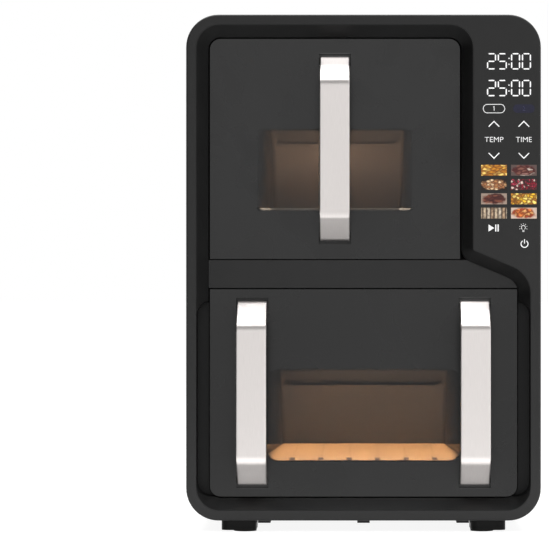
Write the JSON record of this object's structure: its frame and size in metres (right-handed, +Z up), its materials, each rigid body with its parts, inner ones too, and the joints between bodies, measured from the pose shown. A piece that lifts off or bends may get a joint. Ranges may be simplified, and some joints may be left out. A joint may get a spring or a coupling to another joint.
{
  "type": "air fryer",
  "caption": "Tower air fryer with a rounded dark body, stacked pull-out drawers with windows and strap handles, and a flat touch strip beside the upper drawer.",
  "frame": {"origin": "on the floor under the middle of the whole object, handles included", "axes": "+Z up, drawer fronts facing -Y, +X to the right as seen from the front"},
  "size_m": [0.284, 0.362, 0.414],
  "materials": {
    "satin_black": "satin",
    "gloss_black": "gloss",
    "smoked_panel": "satin",
    "handle_metal": "satin",
    "inner_plastic": "matt",
    "nonstick": "satin",
    "oven_steel": "satin",
    "oven_enamel": "satin",
    "heater_steel": "heat-darkened",
    "fan_aluminium": "satin",
    "motor_case": "satin",
    "clear_glass": "gloss",
    "soft_rubber": "matt",
    "circuit_board": "satin",
    "display_black": "gloss",
    "screw_steel": "satin"
  },
  "bodies": {
    "body": {"front_bezel": "satin_black", "housing_shell": "satin_black", "base_tray": "satin_black", "rear_cover": "satin_black", "centre_rail": "satin_black", "recess_frame": "gloss_black", "cord_gland": "inner_plastic", "drawer_sensors": "inner_plastic", "upper_lamp": "inner_plastic", "lower_lamp": "inner_plastic", "upper_runners": "oven_steel", "lower_runners": "oven_steel", "upper_motor_bracket": "oven_steel", "lower_motor_bracket": "oven_steel", "upper_heater_guard": "oven_steel", "lower_heater_guard": "oven_steel", "temperature_probes": "oven_steel", "upper_chamber": "oven_enamel", "lower_chamber": "oven_enamel", "upper_heater": "heater_steel", "lower_heater": "heater_steel", "upper_motor": "motor_case", "lower_motor": "motor_case", "upper_lamp_lens": "clear_glass", "lower_lamp_lens": "clear_glass", "front_feet": "soft_rubber", "rear_feet": "soft_rubber", "display_board": "circuit_board", "power_board": "circuit_board", "digit_display": "display_black", "rear_cover_screws": "screw_steel", "base_screws": "screw_steel"},
    "upper_drawer": {"upper_front_panel": "smoked_panel", "upper_front_frame": "inner_plastic", "upper_front_back": "nonstick", "upper_inner_glass": "clear_glass", "upper_window_seal": "soft_rubber", "upper_handle_screws": "screw_steel", "upper_basket": "nonstick", "upper_handle": "handle_metal"},
    "upper_plate": {"upper_crisper_plate": "nonstick", "upper_plate_feet": "soft_rubber"},
    "upper_fan": {"upper_hot_fan": "fan_aluminium", "upper_fan_shaft": "oven_steel", "upper_cooling_fan": "inner_plastic"},
    "lower_drawer": {"lower_front_panel": "smoked_panel", "lower_front_frame": "inner_plastic", "lower_front_back": "nonstick", "lower_inner_glass": "clear_glass", "lower_window_seal": "soft_rubber", "lower_handle_screws": "screw_steel", "lower_basket": "nonstick", "lower_left_handle": "handle_metal", "lower_right_handle": "handle_metal"},
    "lower_plate": {"lower_crisper_plate": "nonstick", "lower_plate_feet": "soft_rubber"},
    "lower_fan": {"lower_hot_fan": "fan_aluminium", "lower_fan_shaft": "oven_steel", "lower_cooling_fan": "inner_plastic"}
  },
  "joints": [
    {"name": "upper_drawer_slide", "type": "slide", "parent": "body", "child": "upper_drawer", "axis": [0, -1, 0], "range_m": [0, 0.295]},
    {"name": "upper_plate_lift", "type": "slide", "parent": "upper_drawer", "child": "upper_plate", "axis": [0, 0, 1], "range_m": [0, 0.08]},
    {"name": "upper_fan_spin", "type": "hinge", "parent": "body", "child": "upper_fan", "pos_m": [-0.023, -0.0065, 0.357], "axis": [0, 0, 1], "continuous": true},
    {"name": "lower_drawer_slide", "type": "slide", "parent": "body", "child": "lower_drawer", "axis": [0, -1, 0], "range_m": [0, 0.295]},
    {"name": "lower_plate_lift", "type": "slide", "parent": "lower_drawer", "child": "lower_plate", "axis": [0, 0, 1], "range_m": [0, 0.08]},
    {"name": "lower_fan_spin", "type": "hinge", "parent": "body", "child": "lower_fan", "pos_m": [0, -0.0065, 0.155], "axis": [0, 0, 1], "continuous": true}
  ]
}
